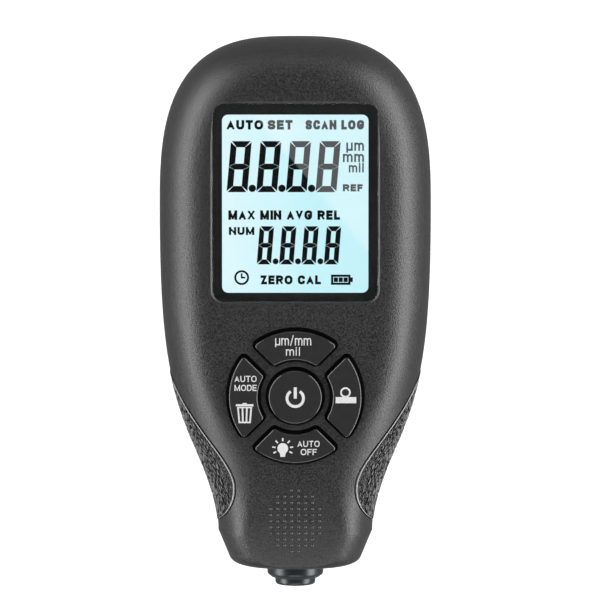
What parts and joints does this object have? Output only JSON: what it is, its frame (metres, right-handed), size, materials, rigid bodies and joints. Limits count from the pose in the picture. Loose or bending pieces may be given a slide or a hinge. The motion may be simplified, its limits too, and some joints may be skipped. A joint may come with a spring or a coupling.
{
  "type": "coating thickness gauge",
  "caption": "Hand-held coating thickness gauge with a lit display, a ring of keys, rubber side grips and a sprung probe tip at its narrow end.",
  "frame": {"origin": "centre of the overall outline on the surface that the gauge lies on, back down", "axes": "+X across the face to the right of the display, +Y along the body to the top of the head, +Z out of the display"},
  "size_m": [0.053, 0.1078, 0.0268],
  "materials": {
    "case": "fine spark-textured moulded ABS, charcoal",
    "grip": "leather-grained moulded rubber, near black",
    "window": "clear acrylic with a black printed border",
    "display": "liquid-crystal glass, lit pale cyan",
    "backlight": "milky light guide",
    "holder": "moulded off-white",
    "strip": "layered conductive silicone",
    "board": "green solder mask",
    "chip": "moulded black epoxy",
    "key": "moulded satin keys, black",
    "switch": "moulded black",
    "plunger": "moulded grey",
    "cell": "plain wrapped cell",
    "contact": "nickel-plated spring steel",
    "collar": "turned glossy black",
    "sleeve": "turned black",
    "core": "ground steel",
    "coil": "enamelled copper winding",
    "spring": "drawn wire",
    "holder_dark": "moulded black",
    "screw": "zinc-plated steel"
  },
  "bodies": {
    "case": {"front_shell": "case", "rear_shell": "case", "left_grip": "grip", "right_grip": "grip", "display_window": "window", "display_glass": "display", "display_backlight": "backlight", "display_holder": "holder", "contact_strip": "strip", "circuit_board": "board", "controller_chip": "chip", "left_cell": "cell", "right_cell": "cell", "left_cell_plate": "contact", "right_cell_plate": "contact", "left_cell_spring": "contact", "right_cell_spring": "contact", "probe_collar": "collar", "probe_spring": "spring", "probe_plug": "holder_dark", "case_screws": "screw", "board_screws": "screw", "power_switch": "switch", "units_switch": "switch", "delete_switch": "switch", "light_switch": "switch", "zero_switch": "switch"},
    "power_button": {"power_key": "key", "power_plunger": "plunger"},
    "units_button": {"units_key": "key", "units_plunger": "plunger"},
    "delete_button": {"delete_key": "key", "delete_plunger": "plunger"},
    "light_button": {"light_key": "key", "light_plunger": "plunger"},
    "zero_button": {"zero_key": "key", "zero_plunger": "plunger"},
    "probe_tip": {"probe_sleeve": "sleeve", "probe_core": "core", "probe_coil": "coil"},
    "door": {"battery_door": "case"}
  },
  "joints": [
    {"name": "power_press", "type": "slide", "parent": "case", "child": "power_button", "axis": [0, 0, -1], "range_m": [0, 0.0005], "stiffness_N_per_m": 1500},
    {"name": "units_press", "type": "slide", "parent": "case", "child": "units_button", "axis": [0, 0, -1], "range_m": [0, 0.0005], "stiffness_N_per_m": 1500},
    {"name": "delete_press", "type": "slide", "parent": "case", "child": "delete_button", "axis": [0, 0, -1], "range_m": [0, 0.0005], "stiffness_N_per_m": 1500},
    {"name": "light_press", "type": "slide", "parent": "case", "child": "light_button", "axis": [0, 0, -1], "range_m": [0, 0.0005], "stiffness_N_per_m": 1500},
    {"name": "zero_press", "type": "slide", "parent": "case", "child": "zero_button", "axis": [0, 0, -1], "range_m": [0, 0.0005], "stiffness_N_per_m": 1500},
    {"name": "probe_press", "type": "slide", "parent": "case", "child": "probe_tip", "axis": [0, 1, 0], "range_m": [0, 0.001], "stiffness_N_per_m": 1000, "deforming": ["probe_spring"]},
    {"name": "door_tip", "type": "hinge", "parent": "case", "child": "door", "pos_m": [0, 0.03893, 0.0001], "axis": [1, 0, 0], "range_deg": [0, 45]}
  ]
}
